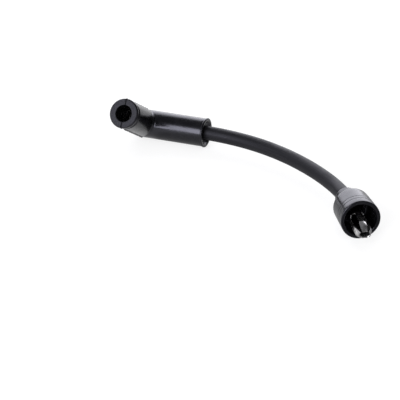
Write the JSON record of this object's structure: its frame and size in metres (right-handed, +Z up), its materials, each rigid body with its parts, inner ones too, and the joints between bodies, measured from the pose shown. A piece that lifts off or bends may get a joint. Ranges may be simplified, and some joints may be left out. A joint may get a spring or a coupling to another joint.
{
  "type": "spark plug wire",
  "caption": "Short ignition lead: right-angle rubber plug boot, black round cable and a straight rubber cup boot around a sprung metal terminal.",
  "frame": {"origin": "under the middle of the bounding box of the two boots and their terminals, on the surface that the lead lies on", "axes": "+X along the cable leg of the right-angle boot towards the cup boot, +Y across the lead on the outer side of its bend, +Z up"},
  "size_m": [0.1463, 0.0821, 0.0287],
  "materials": {
    "boot_rubber": "black moulded rubber, satin, with fine mould marks",
    "cable_jacket": "black silicone jacket, satin, faint lengthwise streaks",
    "terminal_metal": "tinned sheet steel, bright with soft reflections",
    "clip_steel": "drawn spring wire",
    "conductor_core": "carbon-filled fibre core, matt"
  },
  "bodies": {
    "root": {"plug_boot": "boot_rubber", "plug_terminal": "terminal_metal", "plug_clip": "clip_steel", "coil_boot": "boot_rubber", "coil_terminal": "terminal_metal", "cable": "cable_jacket", "conductor": "conductor_core"}
  },
  "joints": []
}
